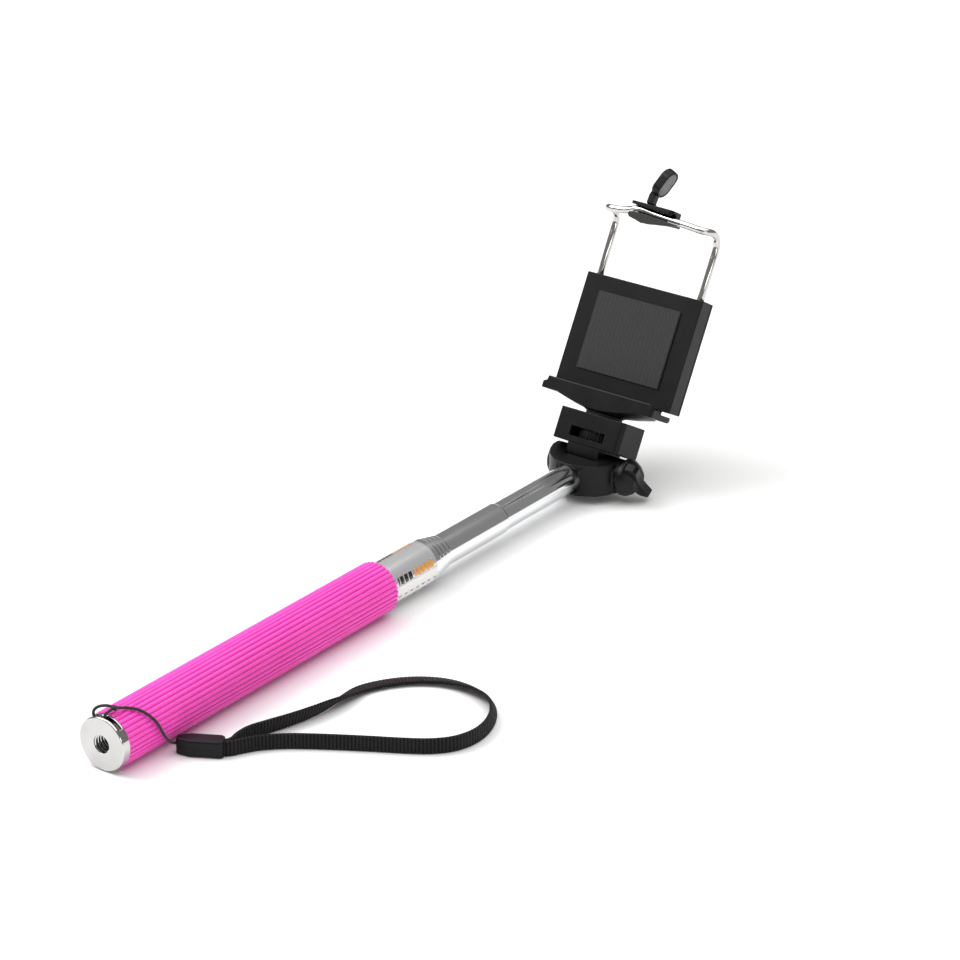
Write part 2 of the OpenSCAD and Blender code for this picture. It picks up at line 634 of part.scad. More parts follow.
module jaw_lever() color(satin_black) in_clamp() difference() {
    union() {
        translate(lever_at) rod_x(1.3, -lever_half, lever_half);
        front_view(lever_at[0] - lever_half, lever_at[0] + lever_half,
                   [[4.1, lever_at[2]], [6.7, lever_at[2]], [6.6, neck_z + 0.4], [3.95, neck_z + 0.4]]);
        front_view(neck_x[0], neck_x[1], [[3.95, neck_z], [6.6, neck_z], [6.4, jaw_z + 9.6],
                   [5.2, jaw_z + 12.6], [3, jaw_z + 13], [3.6, jaw_z + 9.6]]);
        paddle_plate(0, -paddle_t / 2, paddle_t / 2);
    }
    translate(lever_at) rod_x(0.65, -pin_half, pin_half);
    paddle_plate(inset, -paddle_t, -paddle_t / 2 + 0.4);
}

module lever_pad() color("#7d7f80") in_clamp()
    paddle_plate(inset, -paddle_t / 2 + 0.05, -paddle_t / 2 + 0.4);

module lever_pin() color(steel) in_clamp()
    translate(lever_at) rod_x(0.6, -pin_half, pin_half);

end_cap();
grip();
tube_1();
tube_label();
wrist_cord();
cord_knot();
strap_clip_body();
strap_clip_cover();
wrist_webbing();
tube_2();
tube_3();
tube_4();
tube_5();
tube_6();
friction_sleeve_2();
friction_sleeve_3();
friction_sleeve_4();
friction_sleeve_5();
friction_sleeve_6();
fork_head();
tube_plug();
fork_screw();
hinge_bolt();
knob_washer();
wing_knob();
knob_nut();
tilt_block();
swivel_washer();
tripod_screw();
thumb_wheel();
clamp_base();
clamp_nut();
seat_pad();
back_pad();
clamp_cover();
cover_screws();
jaw_springs();
wire_frame();
leg_ferrules();
jaw_bridge();
jaw_block();
bridge_screws();
jaw_lever();
lever_pin();
lever_pad();
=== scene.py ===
import json
import math

import bmesh
import bpy
from mathutils import Matrix, Vector

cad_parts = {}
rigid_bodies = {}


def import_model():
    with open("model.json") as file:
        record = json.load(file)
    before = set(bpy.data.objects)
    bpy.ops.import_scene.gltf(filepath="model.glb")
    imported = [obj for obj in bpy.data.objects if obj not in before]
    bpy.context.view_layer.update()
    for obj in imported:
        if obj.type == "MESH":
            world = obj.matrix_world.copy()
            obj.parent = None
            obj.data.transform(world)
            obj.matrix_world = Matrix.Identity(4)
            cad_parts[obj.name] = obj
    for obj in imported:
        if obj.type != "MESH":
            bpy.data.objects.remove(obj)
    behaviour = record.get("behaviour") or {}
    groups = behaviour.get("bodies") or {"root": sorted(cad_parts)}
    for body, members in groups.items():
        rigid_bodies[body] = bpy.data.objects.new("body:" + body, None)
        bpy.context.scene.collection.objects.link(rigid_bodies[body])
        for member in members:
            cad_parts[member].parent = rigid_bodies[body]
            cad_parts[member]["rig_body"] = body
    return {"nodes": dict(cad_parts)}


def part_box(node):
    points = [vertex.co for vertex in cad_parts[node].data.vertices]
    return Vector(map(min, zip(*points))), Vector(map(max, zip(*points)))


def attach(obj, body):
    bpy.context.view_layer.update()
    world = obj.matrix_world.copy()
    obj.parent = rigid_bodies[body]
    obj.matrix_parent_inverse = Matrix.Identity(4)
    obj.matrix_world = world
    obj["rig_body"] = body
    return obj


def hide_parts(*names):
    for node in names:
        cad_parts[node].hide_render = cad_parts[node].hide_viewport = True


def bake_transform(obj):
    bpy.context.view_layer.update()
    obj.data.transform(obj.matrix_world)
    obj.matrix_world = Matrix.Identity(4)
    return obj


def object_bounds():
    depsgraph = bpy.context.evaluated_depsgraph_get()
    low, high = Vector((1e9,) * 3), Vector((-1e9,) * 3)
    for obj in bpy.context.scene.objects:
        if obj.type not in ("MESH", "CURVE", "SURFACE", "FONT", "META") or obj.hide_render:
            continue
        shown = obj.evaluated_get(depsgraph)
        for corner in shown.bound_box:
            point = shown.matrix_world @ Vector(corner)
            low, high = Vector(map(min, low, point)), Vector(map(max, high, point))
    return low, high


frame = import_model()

bl_info = {
    "name": "Selfie Stick Builder",
    "version": (1, 0, 0),
    "blender": (4, 5, 0),
    "location": "3D View > Sidebar > Stick",
    "description": "Models the soft, rounded and threaded parts of a telescopic selfie stick round its CAD frame",
    "category": "Add Mesh",
}

MM = 0.001
CAD_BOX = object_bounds()
NODES = frame["nodes"]

# The finish that each CAD node has
FINISH_OF = {
    "grip_rubber": ["grip"],
    "pad_rubber": ["swivel_washer", "seat_pad", "back_pad", "jaw_block"],
    "moulded_black": ["strap_clip_body", "strap_clip_cover", "fork_head", "wing_knob", "tilt_block",
                      "thumb_wheel", "clamp_base", "clamp_cover", "jaw_bridge", "jaw_lever"],
    "paddle_grey": ["lever_pad"],
    "label_film": ["tube_label"],
    "polished_tube": ["tube_1", "tube_2", "tube_3", "tube_4", "tube_5", "tube_6"],
    "chromed_wire": ["wire_frame"],
    "turned_alloy": ["end_cap", "tube_plug"],
    "plated_steel": ["fork_screw", "hinge_bolt", "knob_washer", "tripod_screw", "cover_screws",
                     "jaw_springs", "bridge_screws", "lever_pin"],
    "spring_brass": ["friction_sleeve_2", "friction_sleeve_3", "friction_sleeve_4", "friction_sleeve_5",
                     "friction_sleeve_6", "knob_nut", "clamp_nut", "leg_ferrules"],
    "woven_black": ["wrist_webbing"],
    "braided_black": ["wrist_cord", "cord_knot"],
}

# Middle line of the thin cord, from the knot round the cap's bridge and on into the clip, in millimetres
CORD_ROUTE = [
    (4.9, -1.3, 11.2), (3.2, -0.9, 10.8), (2.1, -0.3, 9.9), (1.9, 0, 8.7), (1.9, 0.4, 7.5),
    (1.9, 1.5, 6.95), (1.9, 2.8, 6.8), (1.9, 4, 7.5), (1.9, 4.6, 8.8), (2.2, 4.4, 10.1),
    (3.2, 3.2, 11.2), (4.5, 1, 11.6), (5.6, -1.2, 11.2), (7.4, -1.8, 10.5), (9.8, -2.8, 9.8),
    (12, -4.8, 9.0), (13.8, -7.1, 7.4), (15.4, -9, 5), (16.6, -10.1, 2.2), (18, -10.4, -0.8),
    (19.8, -10.4, -3.4), (21.7, -10.4, -5.2), (23.6, -10.9, -6),
]
# Middle line of the webbing in plan, in millimetres, with its roll in degrees: 90 stands on edge, 0 lies flat
WEB_ROUTE = [
    (31.35, -22.75, 90), (32.4, -24.2, 90), (34.5, -24.6, 89), (38, -23.8, 86), (43.4, -23.9, 84),
    (50, -25.9, 80), (58, -28.7, 76), (66, -30.9, 70), (73, -32, 60), (79.5, -32.3, 42), (86, -32, 22),
    (92, -32.2, 10), (98, -34.6, 8), (104, -38.6, 8), (109, -43.8, 10), (112.4, -50, 14),
    (113.6, -56.6, 22), (112.8, -63.4, 34), (110.2, -69.8, 50), (105.8, -75.4, 66), (99.8, -79.6, 78),
    (92.6, -82.2, 86), (85, -82.6, 90), (77.8, -80.4, 90), (71.8, -75.4, 90), (66.8, -68.2, 90),
    (61.8, -59.8, 90), (56.4, -51, 90), (51, -42.8, 90), (46.4, -36.6, 90), (40.8, -31, 90),
    (35.4, -27.6, 90), (32.4, -26, 90), (30.05, -23.5, 90),
]
KNOT_AT = Vector((5.2, -1.3, 11.2)) * MM
# The cord's route has this many steps between its points
CORD_STEPS = 3
# Spacing of the webbing's threads, and the share of its thickness that its cross ribs sink
WARP_PITCH = 0.7 * MM
WEFT_PITCH = 1.2 * MM
RIB_DEPTH = 0.16
# The clip's own frame, along it from its middle
CLIP = Matrix.Translation(Vector((27.4, -17.4, -6.4)) * MM) @ Matrix.Rotation(math.radians(-60), 4, "Z")
TO_CLIP = CLIP.inverted()

# The hinge of the clamp, and the clamp's own frame: up from the hinge, and back from its held side
HINGE = Vector((272, 0, 0)) * MM
LEAN = math.radians(28.5)
CLAMP = Matrix.Translation(HINGE) @ Matrix.Rotation(LEAN, 4, "Y")
TO_CLAMP = CLAMP.inverted()
# Heights of the tilting block's two flat ends and of the springs' ends, and the place of the wire's legs
BLOCK_ENDS = (6.7 * MM, 18.7 * MM)
SPRING_ENDS = (42.7 * MM, 68.8 * MM)
LEG_BACK, LEG_SIDE = 4.4 * MM, 22.3 * MM
# An edge counts as on a plane within this distance
NEAR = 0.05 * MM


class StickSizes(bpy.types.PropertyGroup):
    """Sizes that the modelled pieces are made to."""
    cord_width: bpy.props.FloatProperty(
        name="Cord diameter", description="Diameter of the thin cord", default=1.0 * MM, unit="LENGTH")
    cord_length: bpy.props.FloatProperty(
        name="Cord length", description="Length of the thin cord", default=0.0488, unit="LENGTH")
    web_width: bpy.props.FloatProperty(
        name="Webbing width", description="Width of the wrist webbing", default=5.6 * MM, unit="LENGTH")
    web_thick: bpy.props.FloatProperty(
        name="Webbing thickness", description="Thickness of the webbing", default=1.3 * MM, unit="LENGTH")
    web_length: bpy.props.FloatProperty(
        name="Webbing length", description="Length of the webbing", default=0.224, unit="LENGTH")
    mould_edge: bpy.props.FloatProperty(
        name="Moulded edge", description="Rounding of moulded edges", default=0.35 * MM, unit="LENGTH")
    fine_edge: bpy.props.FloatProperty(
        name="Fine edge", description="Rounding of small parts' edges", default=0.15 * MM, unit="LENGTH")
    thread_pitch: bpy.props.FloatProperty(
        name="Thread pitch", description="Pitch of the tripod thread", default=1.27 * MM, unit="LENGTH")
    spring_pitch: bpy.props.FloatProperty(
        name="Spring pitch", description="Pitch of the jaw springs", default=2.4 * MM, unit="LENGTH")


class StickColours(bpy.types.PropertyGroup):
    """Colours of the finishes."""
    grip: bpy.props.FloatVectorProperty(
        name="Grip", description="Colour of the grip", subtype="COLOR", default=(1.0, 0.062, 0.53))
    moulding: bpy.props.FloatVectorProperty(
        name="Mouldings", description="Colour of the black mouldings", subtype="COLOR",
        default=(0.0032, 0.0032, 0.0036))
    rubber: bpy.props.FloatVectorProperty(
        name="Pads", description="Colour of the rubber pads", subtype="COLOR", default=(0.007, 0.007, 0.007))
    strap: bpy.props.FloatVectorProperty(
        name="Strap", description="Colour of the strap", subtype="COLOR", default=(0.006, 0.006, 0.006))
    chrome: bpy.props.FloatVectorProperty(
        name="Chrome", description="Colour of polished steel", subtype="COLOR", default=(0.80, 0.79, 0.77))
    alloy: bpy.props.FloatVectorProperty(
        name="Alloy", description="Colour of the turned end cap", subtype="COLOR", default=(0.61, 0.61, 0.60))
    brass: bpy.props.FloatVectorProperty(
        name="Brass", description="Colour of brass", subtype="COLOR", default=(0.62, 0.42, 0.14))
    label: bpy.props.FloatVectorProperty(
        name="Label", description="Colour of the label's print", subtype="COLOR", default=(0.80, 0.33, 0.03))


def colours():
    return bpy.context.scene.stick_colours


# ---------- Selecting and finishing ----------

def deselect():
    bpy.ops.object.select_all(action="DESELECT")


def select_only(piece):
    deselect()
    piece.select_set(True)
    bpy.context.view_layer.objects.active = piece


def place_in_mesh(piece):
    """Moves the object's own place and turn into its mesh."""
    select_only(piece)
    bpy.ops.object.transform_apply(location=True, rotation=True, scale=True)


def apply_modifiers(piece):
    select_only(piece)
    for modifier in list(piece.modifiers):
        bpy.ops.object.modifier_apply(modifier=modifier.name)


def paint(piece, finish):
    piece.data.materials.clear()
    piece.data.materials.append(material(finish))
    for polygon in getattr(piece.data, "polygons", []):
        polygon.material_index = 0


def finish_of(node):
    return next(name for name, nodes in FINISH_OF.items() if node in nodes)


def go_with(piece, node):
    """The piece rides with this CAD node and takes its finish."""
    finish = finish_of(node)
    paint(piece, finish)
    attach(piece, NODES[node]["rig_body"])


def stand_for(piece, node):
    """The piece goes with this CAD node and is shown in its place."""
    go_with(piece, node)
    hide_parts(node)


def keep_cad(*nodes):
    for node in nodes:
        paint(NODES[node], finish_of(node))


def everywhere(middle):
    return 1.0


def merged_copy(node, name, flatten=False):
    """A copy of a CAD node with its loose triangles joined, and its flat faces made whole if flatten."""
    piece = NODES[node].copy()
    piece.data = NODES[node].data.copy()
    piece.name = piece.data.name = name
    for key in list(piece.keys()):
        if key.startswith("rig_"):
            del piece[key]
    piece.parent = None
    bpy.context.scene.collection.objects.link(piece)
    select_only(piece)
    bpy.ops.object.mode_set(mode="EDIT")
    bpy.ops.mesh.select_all(action="SELECT")
    bpy.ops.mesh.remove_doubles(threshold=0.002 * MM)
    if flatten:
        bpy.ops.mesh.dissolve_limited(angle_limit=math.radians(0.5))
    bpy.ops.object.mode_set(mode="OBJECT")
    return piece


def rounded_copy(node, width, segments=2, sharp=32, share=everywhere):
    """A merged copy of a CAD node with its sharp edges rounded, shown in the node's place.

    share gives the part of the width that an edge takes, from its middle point."""
    piece = merged_copy(node, node + "_shell", flatten=True)
    weigh_edges(piece, math.radians(sharp), share)
    bevel = piece.modifiers.new("Edges", "BEVEL")
    bevel.width = width
    bevel.segments = segments
    bevel.limit_method = "WEIGHT"
    bevel.use_clamp_overlap = False
    bevel.miter_outer = "MITER_ARC"
    apply_modifiers(piece)
    bpy.ops.object.shade_smooth_by_angle(angle=math.radians(sharp))
    even = piece.modifiers.new("Normals", "WEIGHTED_NORMAL")
    even.keep_sharp = True
    apply_modifiers(piece)
    stand_for(piece, node)
    return piece


def weigh_edges(piece, sharp, share):
    mesh = bmesh.new()
    mesh.from_mesh(piece.data)
    weight = mesh.edges.layers.float.new("bevel_weight_edge")
    for edge in mesh.edges:
        if len(edge.link_faces) == 2 and edge.calc_face_angle() > sharp:
            edge[weight] = share((edge.verts[0].co + edge.verts[1].co) / 2)
    mesh.to_mesh(piece.data)
    mesh.free()


def smooth_line(points, steps):
    """The same route with more points, on a Catmull-Rom curve through the given ones."""
    line = []
    last = len(points) - 1
    for i in range(last):
        a, b = points[max(i - 1, 0)], points[i]
        c, d = points[i + 1], points[min(i + 2, last)]
        for k in range(steps):
            t = k / steps
            line.append(0.5 * (2 * b + (c - a) * t + (2 * a - 5 * b + 4 * c - d) * t * t
                               + (3 * b - a - 3 * c + d) * t ** 3))
    return line + [points[last]]


def even_steps(line, step):
    """The same line with points about a step apart."""
    marks = [0.0]
    for a, b in zip(line, line[1:]):
        marks.append(marks[-1] + (b - a).length)
    count = int(marks[-1] / step)
    points, i = [], 0
    for k in range(count + 1):
        at = marks[-1] * k / count
        while i < len(line) - 2 and marks[i + 1] < at:
            i += 1
        points.append(line[i].lerp(line[i + 1], (at - marks[i]) / (marks[i + 1] - marks[i])))
    return points


# ---------- Finishes ----------

class Finish:
    """A node material with a Principled surface, built by chaining a few helpers."""

    def __init__(self, name):
        self.material = bpy.data.materials.new(name)
        self.material.use_nodes = True
        self.tree = self.material.node_tree
        self.shader = self.tree.nodes["Principled BSDF"]
        self.place = self.add("ShaderNodeTexCoord").outputs["Object"]

    def add(self, kind, **settings):
        node = self.tree.nodes.new(kind)
        for key, value in settings.items():
            setattr(node, key, value)
        return node

    def link(self, source, target):
        self.tree.links.new(source, target)

    def value(self, socket, value):
        self.shader.inputs[socket].default_value = value

    def noise(self, scale, detail=3.0, stretch=(1, 1, 1), rough=0.5):
        mapping = self.add("ShaderNodeMapping")
        mapping.inputs["Scale"].default_value = stretch
        self.link(self.place, mapping.inputs["Vector"])
        noise = self.add("ShaderNodeTexNoise")
        noise.inputs["Scale"].default_value = scale
        noise.inputs["Detail"].default_value = detail
        noise.inputs["Roughness"].default_value = rough
        self.link(mapping.outputs["Vector"], noise.inputs["Vector"])
        return noise.outputs["Fac"]

    def spread(self, source, low, high, start=0.0, end=1.0):
        span = self.add("ShaderNodeMapRange")
        for name, value in (("From Min", start), ("From Max", end), ("To Min", low), ("To Max", high)):
            span.inputs[name].default_value = value
        self.link(source, span.inputs["Value"])
        return span.outputs["Result"]

    def math(self, operation, a, b=0.0, c=0.0):
        node = self.add("ShaderNodeMath", operation=operation)
        for socket, value in zip(node.inputs, (a, b, c)):
            if isinstance(value, bpy.types.NodeSocket):
                self.link(value, socket)
            else:
                socket.default_value = value
        return node.outputs["Value"]

    def mix(self, factor, a, b):
        node = self.add("ShaderNodeMix", data_type="RGBA")
        for socket, value in (("Factor", factor), ("A", a), ("B", b)):
            slot = next(s for s in node.inputs if s.name == socket and s.enabled
                        and (s.type == "RGBA" or socket == "Factor") and s.type != "VECTOR")
            if isinstance(value, bpy.types.NodeSocket):
                self.link(value, slot)
            else:
                slot.default_value = (*value, 1.0) if socket != "Factor" else value
        return next(s for s in node.outputs if s.enabled and s.type == "RGBA")

    def bump(self, height, distance, strength=1.0, over=None):
        node = self.add("ShaderNodeBump")
        node.inputs["Distance"].default_value = distance
        node.inputs["Strength"].default_value = strength
        self.link(height, node.inputs["Height"])
        if over is not None:
            self.link(over, node.inputs["Normal"])
        return node.outputs["Normal"]

    def axes(self):
        split = self.add("ShaderNodeSeparateXYZ")
        self.link(self.place, split.inputs["Vector"])
        return split.outputs["X"], split.outputs["Y"], split.outputs["Z"]

    def from_axis(self):
        """Distance from the stick's own axis."""
        _, y, z = self.axes()
        return self.math("SQRT", self.math("ADD", self.math("MULTIPLY", y, y), self.math("MULTIPLY", z, z)))

    def band(self, value, low, high):
        """One between low and high, nought outside."""
        return self.math("MULTIPLY", self.math("GREATER_THAN", value, low), self.math("LESS_THAN", value, high))

    def colour(self, socket):
        self.link(socket, self.shader.inputs["Base Color"])

    def rough(self, socket):
        self.link(socket, self.shader.inputs["Roughness"])

    def normal(self, socket):
        self.link(socket, self.shader.inputs["Normal"])


def shade(colour, factor):
    return tuple(min(1.0, c * factor) for c in colour)


def grip_rubber():
    f = Finish("grip_rubber")
    pink = tuple(colours().grip)
    # Painted shade: the grooves between the ribs are coloured a darker pink than the crests.
    height = f.spread(f.from_axis(), 0.0, 1.0, 8.75 * MM, 9.35 * MM)
    painted_groove_shade = (pink[0] * 0.50, pink[1] * 0.30, pink[2] * 0.62)
    ribs = f.mix(height, painted_groove_shade, pink)
    cloud = f.spread(f.noise(60, 4), 0.0, 0.25, 0.35, 0.7)
    f.colour(f.mix(cloud, ribs, (pink[0], pink[1] * 1.6, pink[2] * 1.15)))
    f.rough(f.spread(f.noise(240, 3), 0.36, 0.52))
    f.normal(f.bump(f.noise(2600, 3), 0.02 * MM, 0.5))
    f.value("Sheen Weight", 0.12)
    f.value("Specular IOR Level", 0.45)
    return f.material


def moulded_black():
    f = Finish("moulded_black")
    black = tuple(colours().moulding)
    cloud = f.spread(f.noise(90, 4), 0.0, 1.0, 0.35, 0.7)
    f.colour(f.mix(cloud, black, shade(black, 1.9)))
    f.rough(f.spread(f.noise(500, 4), 0.27, 0.44))
    grain = f.bump(f.noise(3200, 4, rough=0.6), 0.02 * MM, 0.55)
    f.normal(f.bump(f.noise(160, 2), 0.06 * MM, 0.25, grain))
    f.value("Specular IOR Level", 0.21)
    return f.material


def pad_rubber():
    f = Finish("pad_rubber")
    black = tuple(colours().rubber)
    f.colour(f.mix(f.spread(f.noise(1200, 4), 0.0, 1.0, 0.3, 0.7), black, shade(black, 1.6)))
    f.rough(f.spread(f.noise(700, 3), 0.6, 0.75))
    _, across, _ = f.axes()
    ribs = f.math("SINE", f.math("MULTIPLY", across, 2 * math.pi / (1.6 * MM)))
    f.normal(f.bump(f.noise(2500, 3), 0.03 * MM, 0.6, f.bump(ribs, 0.05 * MM, 0.5)))
    f.value("Sheen Weight", 0.15)
    return f.material


def paddle_grey():
    f = Finish("paddle_grey")
    f.colour(f.mix(f.spread(f.noise(400, 3), 0.0, 1.0, 0.3, 0.7), (0.13, 0.13, 0.135), (0.20, 0.20, 0.205)))
    f.rough(f.spread(f.noise(900, 3), 0.38, 0.55))
    f.normal(f.bump(f.noise(3000, 2), 0.02 * MM, 0.4))
    return f.material


def polished(name, tint, low, high, stretch):
    """Bright metal with fine drawing marks along its length."""
    f = Finish(name)
    f.value("Metallic", 1.0)
    f.colour(f.mix(f.spread(f.noise(40, 3), 0.0, 0.5, 0.35, 0.7), tint, shade(tint, 0.86)))
    marks = f.noise(900, 3, stretch)
    f.rough(f.spread(marks, low, high))
    f.normal(f.bump(marks, 0.004 * MM, 0.25))
    return f.material


def polished_tube():
    return polished("polished_tube", tuple(colours().chrome), 0.03, 0.10, (0.02, 1, 1))


def chromed_wire():
    return polished("chromed_wire", shade(tuple(colours().chrome), 0.76), 0.05, 0.12, (1, 0.05, 0.6))


def plated_steel():
    return polished("plated_steel", (0.60, 0.60, 0.61), 0.18, 0.34, (1, 1, 1))


def spring_brass():
    return polished("spring_brass", tuple(colours().brass), 0.20, 0.36, (1, 1, 1))


def turned_alloy():
    f = Finish("turned_alloy")
    alloy = tuple(colours().alloy)
    f.value("Metallic", 1.0)
    reach = f.from_axis()
    rings = f.math("SINE", f.math("MULTIPLY", reach, 2 * math.pi / (0.28 * MM)))
    x, _, _ = f.axes()
    face = f.math("LESS_THAN", x, 0.05 * MM)
    f.colour(f.mix(f.spread(f.noise(120, 4), 0.0, 1.0, 0.3, 0.7), alloy, shade(alloy, 0.9)))
    f.rough(f.math("ADD", f.spread(f.noise(600, 3), 0.07, 0.12), f.math("MULTIPLY", face, 0.20)))
    f.normal(f.bump(f.math("MULTIPLY", rings, face), 0.006 * MM, 0.5))
    return f.material


def label_film():
    """Clear film on the tube with a white panel, rows of coloured and black ticks and a row of dashes."""
    f = Finish("label_film")
    x, y, z = f.axes()
    half_turn = f.math("ARCTAN2", z, y)
    turn = f.math("ADD", half_turn, f.math("MULTIPLY", f.math("LESS_THAN", half_turn, 0.0), 2 * math.pi))

    def sector(low, high):
        """One between two angles round the tube, in degrees."""
        return f.band(turn, math.radians(low), math.radians(high))

    def repeat(pitch, share):
        """One on the first share of each pitch along the tube."""
        return f.math("LESS_THAN", f.math("FRACT", f.math("DIVIDE", x, pitch)), share)

    panel = sector(172, 300)
    bar = f.math("MULTIPLY", sector(148, 168), repeat(2.4 * MM, 0.72))
    top = f.math("MULTIPLY", sector(62, 78), repeat(2.0 * MM, 0.7))
    dashes = f.math("MULTIPLY", sector(198, 203), repeat(3.3 * MM, 0.45))
    front = f.band(x, 154.4 * MM, 165.2 * MM)
    rear = f.band(x, 145.2 * MM, 153.4 * MM)
    ink = f.math("MINIMUM", f.math("ADD", bar, top), 1.0)
    orange = f.math("MULTIPLY", ink, front)
    black = f.math("MINIMUM", f.math("ADD", f.math("MULTIPLY", ink, rear), f.math("MULTIPLY", dashes, panel)), 1.0)
    base = f.mix(panel, (0.72, 0.72, 0.72), (0.86, 0.86, 0.85))
    f.colour(f.mix(black, f.mix(orange, base, tuple(colours().label)), (0.015, 0.015, 0.015)))
    solid = f.math("MINIMUM", f.math("ADD", f.math("ADD", panel, orange), black), 1.0)
    bare = f.math("SUBTRACT", 1.0, solid)
    f.link(f.spread(solid, 0.22, 1.0), f.shader.inputs["Alpha"])
    f.rough(f.math("ADD", f.spread(f.noise(500, 3), 0.10, 0.2), f.math("MULTIPLY", bare, 0.02)))
    f.value("Coat Weight", 0.5)
    f.normal(f.bump(f.noise(150, 2), 0.02 * MM, 0.2))
    return f.material


def woven_black():
    """Webbing: ribs across the band, each with the small steps of its warp threads."""
    f = Finish("woven_black")
    strap = tuple(colours().strap)
    uv = f.add("ShaderNodeUVMap", uv_map="weave")
    split = f.add("ShaderNodeSeparateXYZ")
    f.link(uv.outputs["UV"], split.inputs["Vector"])
    along, across = split.outputs["X"], split.outputs["Y"]
    warp = f.math("ABSOLUTE", f.math("SINE", f.math("MULTIPLY", across, math.pi / WARP_PITCH)))
    weft = f.math("ABSOLUTE", f.math("COSINE", f.math("MULTIPLY", along, math.pi / WEFT_PITCH)))
    weave_relief_and_shade = f.math("MULTIPLY", f.math("POWER", warp, 0.35), f.math("POWER", weft, 0.9))
    # Painted shade and painted highlight: the colour follows the weave's relief, darker in the gaps between
    # threads and lighter on their crests.
    f.colour(f.mix(f.spread(weave_relief_and_shade, 0.0, 1.0, 0.15, 0.95), shade(strap, 0.2), shade(strap, 3.0)))
    f.rough(f.spread(f.noise(900, 3), 0.5, 0.75))
    fibre = f.bump(f.noise(6000, 3), 0.03 * MM, 0.7)
    f.normal(f.bump(weave_relief_and_shade, 0.45 * MM, 1.0, fibre))
    f.value("Specular IOR Level", 0.18)
    f.value("Sheen Weight", 0.04)
    f.value("Sheen Roughness", 0.4)
    return f.material


def braided_black():
    f = Finish("braided_black")
    strap = tuple(colours().strap)
    plait_relief_and_shade = f.math("ABSOLUTE", f.math("SINE", f.math("MULTIPLY", f.noise(700, 1), 24.0)))
    # Painted shade and painted highlight: the colour follows the plait's relief, darker in its grooves and lighter
    # on its strands.
    f.colour(f.mix(plait_relief_and_shade, shade(strap, 0.7), shade(strap, 2.4)))
    f.rough(f.spread(f.noise(2000, 3), 0.55, 0.8))
    f.normal(f.bump(plait_relief_and_shade, 0.05 * MM, 0.8))
    f.value("Sheen Weight", 0.2)
    return f.material


def pale_floor():
    f = Finish("pale_floor")
    f.colour(f.mix(f.spread(f.noise(3, 2), 0.0, 1.0, 0.3, 0.7), (0.93, 0.93, 0.93), (0.95, 0.95, 0.95)))
    f.rough(f.spread(f.noise(20, 2), 0.8, 0.95))
    f.value("Specular IOR Level", 0.2)
    return f.material


FINISHES = {maker.__name__: maker for maker in (
    grip_rubber, moulded_black, pad_rubber, paddle_grey, polished_tube, chromed_wire, plated_steel,
    spring_brass, turned_alloy, label_film, woven_black, braided_black, pale_floor)}


def material(name):
    return bpy.data.materials.get(name) or FINISHES[name]()


# ---------- Stage and operators ----------

FLOOR_SIZE = 9.0
FLOOR_GAP = 0.05 * MM
SKY = (1.0, 0.98, 0.95, 1)
SKY_STRENGTH = 0.26
# Each lamp's name, place, aim, two sides and power
LAMPS = (
    ("key_light", (-0.35, 0.95, 1.2), (0.15, 0, 0), (0.9, 0.9), 13),
    ("front_strip", (-0.55, -1.1, 0.35), (0.15, 0, 0.03), (0.9, 0.25), 2.4),
    ("top_box", (0.35, 0.4, 2.2), (0.35, 0.4, 0), (4, 4), 84),
)
CAMERA_AT = Vector((-729.17, -663.90, 532.94)) * MM
# Azimuth, fall and roll, in degrees
CAMERA_TURN = (35.473, 24.192, 0.919)
CAMERA_LENS = 132.82
CAMERA_SENSOR = 36


class STICK_OT_stage(bpy.types.Operator):
    """A pale floor, soft studio light and the camera"""
    bl_idname = "stick.stage"
    bl_label = "Stage"

    def execute(self, context):
        self.floor()
        self.light()
        self.camera(context)
        context.scene.view_settings.view_transform = "Standard"
        return {"FINISHED"}

    def floor(self):
        deselect()
        table = CAD_BOX[0][2] - FLOOR_GAP
        bpy.ops.mesh.primitive_grid_add(x_subdivisions=8, y_subdivisions=8, size=FLOOR_SIZE,
                                        location=(1.5, 1.0, table))
        floor = bpy.context.object
        floor.name = "floor"
        place_in_mesh(floor)
        floor.data.materials.append(material("pale_floor"))

    def light(self):
        world = bpy.data.worlds.new("studio")
        world.use_nodes = True
        sky = world.node_tree.nodes["Background"]
        sky.inputs["Color"].default_value = SKY
        sky.inputs["Strength"].default_value = SKY_STRENGTH
        bpy.context.scene.world = world
        for name, place, aim, size, power in LAMPS:
            lamp = bpy.data.lights.new(name, "AREA")
            lamp.shape = "RECTANGLE"
            lamp.size, lamp.size_y = size
            lamp.energy = power
            holder = bpy.data.objects.new(name, lamp)
            holder.location = place
            holder.rotation_euler = (Vector(aim) - Vector(place)).to_track_quat("-Z", "Y").to_euler()
            bpy.context.scene.collection.objects.link(holder)

    def camera(self, context):
        azimuth, fall, roll = (math.radians(a) for a in CAMERA_TURN)
        ahead = Vector((math.cos(fall) * math.cos(azimuth), math.cos(fall) * math.sin(azimuth), -math.sin(fall)))
        lens = bpy.data.cameras.new("camera")
        lens.lens = CAMERA_LENS
        lens.sensor_width = CAMERA_SENSOR
        lens.clip_start, lens.clip_end = 0.01, 50
        camera = bpy.data.objects.new("camera", lens)
        turn = ahead.to_track_quat("-Z", "Y").to_matrix().to_4x4() @ Matrix.Rotation(roll, 4, "Z")
        camera.matrix_world = Matrix.Translation(CAMERA_AT) @ turn
        context.scene.collection.objects.link(camera)
        context.scene.camera = camera


